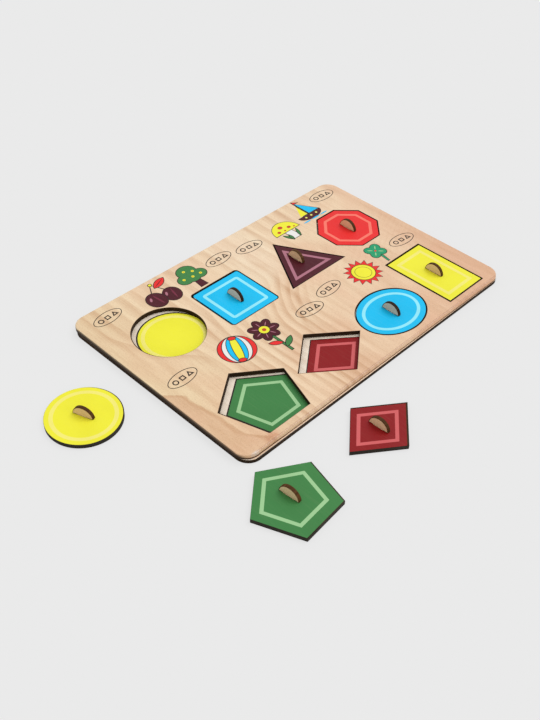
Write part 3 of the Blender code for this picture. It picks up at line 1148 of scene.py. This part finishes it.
def star(points, outer_radius, inner_radius):
    def add(inset):
        inner = inner_radius * MM - inset
        bpy.ops.mesh.primitive_circle_add(vertices=2 * points, radius=inner, fill_type="NGON")
        edit_corners(lambda number, place: number % 2 == 0)
        grow = (outer_radius * MM - 1.6 * inset) / inner
        bpy.ops.transform.resize(value=(grow, grow, 1))
        leave_edit()
    return add


def half_oval(half_length, height):
    """Upper half of an oval, flat side on the X axis."""
    def add(inset):
        bpy.ops.mesh.primitive_circle_add(vertices=64, radius=1, fill_type="NGON")
        edit_all(bpy.context.object)
        bpy.ops.mesh.bisect(plane_co=(0, 0, 0), plane_no=(0, 1, 0), clear_inner=True)
        leave_edit()
        stretch(half_length * MM - inset, height * MM - 2 * inset)
        shift(0, inset)
    return add


def sail(foot, height):
    """Right-angled triangle with its upright side on the Y axis."""
    def add(inset):
        bpy.ops.mesh.primitive_plane_add(size=1)
        shift(0.5, 0.5)
        edit_all(bpy.context.object)
        bpy.ops.mesh.bisect(plane_co=(1, 0, 0), plane_no=(1, 1, 0), clear_outer=True)
        leave_edit()
        stretch(foot * MM - 3 * inset, height * MM - 3.6 * inset)
        shift(inset if foot > 0 else -inset, inset)
    return add


def blade(low_half, high_half, height):
    """Upright bar standing on the X axis, wider or narrower at its top."""
    def add(inset):
        low, high, middle = low_half * MM - inset, high_half * MM - inset, height * MM / 2
        bpy.ops.mesh.primitive_plane_add(size=2)
        stretch(low, middle - inset)
        shift(0, middle)
        edit_corners(lambda number, place: place.y > middle)
        bpy.ops.transform.resize(value=(high / low, 1, 1))
        leave_edit()
    return add


class Picture:
    """A printed picture: areas of ink laid one over another, some on a dark line."""

    def __init__(self, name, x, y, turn=0.0, size=1.15):
        self.name = name
        self.size = size
        self.place = Vector((x * MM, y * MM, BOARD_TOP - INK_SINK))
        self.turn = math.radians(turn)
        self.layers = []

    def lay(self, kind, add_flat, ink, x, y, turn, *sizes):
        height = INK_SINK + (len(self.layers) + 1) * PICTURE_STEP
        layer = kind("layer", add_flat, *sizes, height)
        give_materials(layer, INK[ink])
        settle(layer, (x * MM, y * MM, 0), math.radians(turn))
        self.layers.append(layer)

    def line(self, add_flat, x=0, y=0, turn=0.0):
        self.lay(patch, add_flat, "line", x, y, turn, -LINE_WIDTH)

    def fill(self, add_flat, ink, x=0, y=0, turn=0.0):
        self.lay(patch, add_flat, ink, x, y, turn, 0.0)

    def both(self, add_flat, ink, x=0, y=0, turn=0.0):
        self.line(add_flat, x, y, turn)
        self.fill(add_flat, ink, x, y, turn)

    def rim(self, add_flat, width, x=0, y=0):
        self.lay(band, add_flat, "line", x, y, 0.0, 0.0, width * MM)

    def print_on_tray(self):
        picture = join_all(self.name, self.layers)
        settle(picture, self.place, self.turn, self.size)
        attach(picture, "tray")


def print_plums():
    plums = Picture("print_plums", -75.0, 73.5)
    plums.fill(blade(0.45, 0.3, 10), "line", 5.5, 6.0, 24)
    plums.fill(blade(0.45, 0.3, 11), "line", -5.5, 6.5, -30)
    plums.both(leaf(6.6, 2.9), "red", 7.2, 14.5, -66)
    plums.fill(leaf(5.6, 0.3), "maroon", 7.0, 14.4, -66)
    for x, y, wide, tall, lean in ((6.4, -1.6, 6.6, 7.6, -8), (-6.2, 0.2, 7.1, 8.2, 10)):
        plums.both(oval(wide, tall), "maroon", x, y, lean)
        plums.fill(leaf(tall - 1.6, 0.7), "plum", x + 1.4, y - 0.2, lean - 4)
        plums.fill(oval(0.9, 2.1), "mauve", x - 3.2, y + 2.6, -28)
    plums.both(oval(1.2, 1.2), "yellow", 0.6, 16.6)
    plums.print_on_tray()


def print_tree():
    tree = Picture("print_tree", -41, 62)
    tree.both(blade(3.0, 1.7, 12), "maroon")
    crown = ((-6.4, 13.6, 5.8, 5.2), (6.6, 13.2, 5.6, 5.0), (0, 12.4, 6.4, 4.8), (0, 20.2, 7.6, 7.0))
    for x, y, wide, tall in crown:
        tree.line(oval(wide, tall), x, y)
    for x, y, wide, tall in crown:
        tree.fill(oval(wide, tall), "green", x, y)
    for x, y in ((-7.2, 14.2), (-1.4, 21.6), (4.2, 18.2), (7.2, 12.6), (0.2, 13.0)):
        tree.fill(oval(1.15, 1.15), "yellow", x, y)
        tree.fill(oval(0.45, 0.45), "rust", x, y)
    tree.print_on_tray()


def print_mushroom():
    mushroom = Picture("print_mushroom", 63.5, 56)
    mushroom.both(blade(4.2, 2.9, 12), "white")
    mushroom.both(half_oval(12.2, 12.6), "yellow", 0, 10.2)
    spots = (
        (-6.6, 13.2, 1.6), (-1.6, 17.4, 2.1), (4.4, 13.8, 1.7), (8.4, 11.9, 0.9), (-1.2, 12.2, 0.9),
    )
    for x, y, size in spots:
        mushroom.fill(oval(size, 0.86 * size), "rust", x, y)
    for x, height, lean in ((-5.6, 4.4, 24), (-3.6, 3.4, -6), (5.2, 4.8, -22)):
        mushroom.both(leaf(height, 0.9), "green", x, height - 0.6, lean)
    mushroom.print_on_tray()


def print_sailboat():
    boat = Picture("print_sailboat", 97, 65.6, size=1.08)
    boat.fill(blade(0.4, 0.4, 25), "line", 0, 2)
    boat.both(sail(10.8, 17.5), "blue", 1.0, 8.4)
    boat.both(sail(-8.0, 13.5), "yellow", -1.0, 8.4)
    boat.both(half_oval(12.4, 6.4), "maroon", 0, 7.2, 180)
    for x in (-6, 0, 6):
        boat.fill(oval(1.0, 1.0), "pale_yellow", x, 4.9)
    for x, wide in ((-9.4, 4.4), (0.6, 5.0), (10.2, 4.2)):
        boat.fill(leaf(wide, 0.7), "blue", x, 0.2, 90)
    boat.both(sail(4.2, 2.6), "red", 0.4, 26.2)
    boat.print_on_tray()


def print_ball():
    ball = Picture("print_ball", -76.5, -14.0, -24)
    for wide, ink in ((13.0, "red"), (9.6, "white"), (6.2, "blue"), (2.7, "yellow")):
        ball.both(oval(wide, 13.0), ink)
    for y in (11.2, -11.2):
        ball.both(oval(2.6, 1.5), "red", 0, y)
    ball.print_on_tray()


def around(reach, turns, middle=0.0):
    """Places on a circle round (0, middle), each with the turn that points it outwards."""
    for turn in turns:
        angle = math.radians(turn)
        yield -reach * math.sin(angle), middle + reach * math.cos(angle), turn


def print_flower():
    flower = Picture("print_flower", -46.0, -12.5)
    flower.both(blade(0.7, 0.7, 22), "green", 0, -27)
    flower.both(leaf(5.4, 1.9), "green", 4.2, -19.4, -58)
    flower.both(leaf(4.6, 1.7), "red", -3.6, -15.0, 56)
    turns = [360 / 7 * number for number in range(7)]
    for place in around(6.4, turns):
        flower.line(oval(3.1, 4.8), *place)
    for place in around(6.4, turns):
        flower.fill(oval(3.1, 4.8), "maroon", *place)
    for place in around(6.2, turns):
        flower.fill(leaf(2.6, 0.35), "mauve", *place)
    flower.both(oval(3.7, 3.7), "yellow")
    flower.fill(oval(1.5, 1.5), "rust")
    flower.print_on_tray()


def print_sun():
    sun = Picture("print_sun", 66, -18.0)
    sun.both(star(14, 14.2, 10.0), "red")
    sun.both(oval(8.8, 8.8), "yellow")
    sun.rim(oval(6.4, 6.4), 0.3)
    sun.print_on_tray()


def print_clover():
    clover = Picture("print_clover", 96.5, -9.4, size=1.1)
    clover.both(blade(0.6, 0.9, 12.5), "teal", -1.6, -11.5, -9)
    turns = [-45 - 90 * number for number in range(4)]
    for place in around(4.5, turns, 3.6):
        clover.line(oval(3.9, 4.4), *place)
    for place in around(4.5, turns, 3.6):
        clover.fill(oval(3.9, 4.4), "teal", *place)
    for place in around(4.3, turns, 3.6):
        clover.fill(leaf(2.4, 0.5), "pale_green", *place)
    clover.fill(oval(0.9, 0.9), "red", 0, 3.6)
    clover.print_on_tray()


def print_label(number, x, y, turn):
    """Thin oval frame with three little outlined shapes."""
    label = Picture(f"print_label_{number}", x, y, turn, 1.0)
    label.rim(oval(14.0, 6.8), 0.65)
    label.rim(oval(2.6, 2.6), 1.0, -7.0)
    label.rim(rectangle_flat(2.3 * MM, 2.3 * MM), 1.0)
    label.rim(polygon_flat(3, 1.75 * MM), 1.0, 7.1, -0.6)
    label.print_on_tray()


LABELS = (
    (-124, 84, 6), (-9, 80, 3), (22, 74.5, -4), (127, 86, -3),
    (-127, -9, 4), (-2, -20, -5), (28.5, -12.5, 5), (126, -10.5, -4),
)


def print_pictures():
    print_plums()
    print_tree()
    print_mushroom()
    print_sailboat()
    print_ball()
    print_flower()
    print_sun()
    print_clover()
    for number, (x, y, turn) in enumerate(LABELS, start=1):
        print_label(number, x, y, turn)


# Camera, floor and light
def make_camera():
    data = bpy.data.cameras.new("camera")
    data.lens = LENS
    data.sensor_width = SENSOR_WIDTH
    data.clip_start = 10 * MM
    camera = bpy.data.objects.new("camera", data)
    bpy.context.scene.collection.objects.link(camera)
    back = -CAMERA_AHEAD.normalized()
    up = back.cross(CAMERA_RIGHT.normalized()).normalized()
    right = up.cross(back)
    place = CAMERA_PLACE - CAMERA_TO_LEFT * right + CAMERA_LIFT * up
    camera.matrix_world = Matrix.Translation(place) @ Matrix((right, up, back)).transposed().to_4x4()
    bpy.context.scene.camera = camera


def make_floor():
    """Pale table top: its own light for the camera, so shadows on it stay soft and light."""
    floor = start("floor", bpy.ops.mesh.primitive_plane_add)
    edit_all(floor)
    bpy.ops.transform.resize(value=(FLOOR_REACH, FLOOR_REACH, 1))
    bpy.ops.mesh.subdivide(number_cuts=3)
    leave_edit()
    settle(floor, (0, 0, -FLOOR_DROP))
    material = bpy.data.materials.new("pale_floor")
    material.use_nodes = True
    nodes = Nodes(material.node_tree)
    material.node_tree.nodes.remove(material.node_tree.nodes["Principled BSDF"])
    diffuse = nodes.add("ShaderNodeBsdfDiffuse", Color=PALE)
    glow = nodes.add("ShaderNodeEmission", Color=PALE)
    seen = nodes.add("ShaderNodeLightPath").outputs["Is Camera Ray"]
    blend = nodes.add("ShaderNodeMixShader")
    nodes.put(blend.inputs[0], nodes.times(seen, FLOOR_GLOW))
    nodes.put(blend.inputs[1], diffuse.outputs[0])
    nodes.put(blend.inputs[2], glow.outputs[0])
    nodes.put(material.node_tree.nodes["Material Output"].inputs["Surface"], blend.outputs[0])
    give_materials(floor, material)


def make_world():
    """Even light from all round; the camera, gloss and glass see the same pale grey as the floor."""
    world = bpy.data.worlds.new("studio")
    bpy.context.scene.world = world
    world.use_nodes = True
    nodes = Nodes(world.node_tree)
    background = world.node_tree.nodes["Background"]
    rays = nodes.add("ShaderNodeLightPath").outputs
    seen = nodes.larger(rays["Is Camera Ray"], rays["Is Glossy Ray"])
    seen = nodes.larger(seen, rays["Is Transmission Ray"])
    level_light = (WORLD_LIGHT, WORLD_LIGHT, WORLD_LIGHT, 1)
    nodes.put(background.inputs["Color"], nodes.mix(seen, level_light, PALE))


def make_sun():
    data = bpy.data.lights.new("soft_key", "SUN")
    data.angle = SUN_WIDTH
    data.energy = SUN_LIGHT * math.pi / math.sin(SUN_ELEVATION)
    sun = bpy.data.objects.new("soft_key", data)
    bpy.context.scene.collection.objects.link(sun)
    from_sun = Vector((
        math.cos(SUN_ELEVATION) * math.cos(SUN_AZIMUTH),
        math.cos(SUN_ELEVATION) * math.sin(SUN_AZIMUTH),
        math.sin(SUN_ELEVATION),
    ))
    sun.rotation_euler = from_sun.to_track_quat("Z", "Y").to_euler()


def main():
    tray_cutters = hole_cutters()
    make_tray_top(tray_cutters)
    remove(tray_cutters)
    make_glue_seam()
    make_tray_base()
    for shape in SHAPES:
        if shape.burn:
            make_smoke_mark(shape)
        make_floor_print(shape)
        make_piece(shape)
    print_pictures()
    make_camera()
    make_floor()
    make_world()
    make_sun()
    bpy.context.scene.view_settings.view_transform = "Standard"


main()
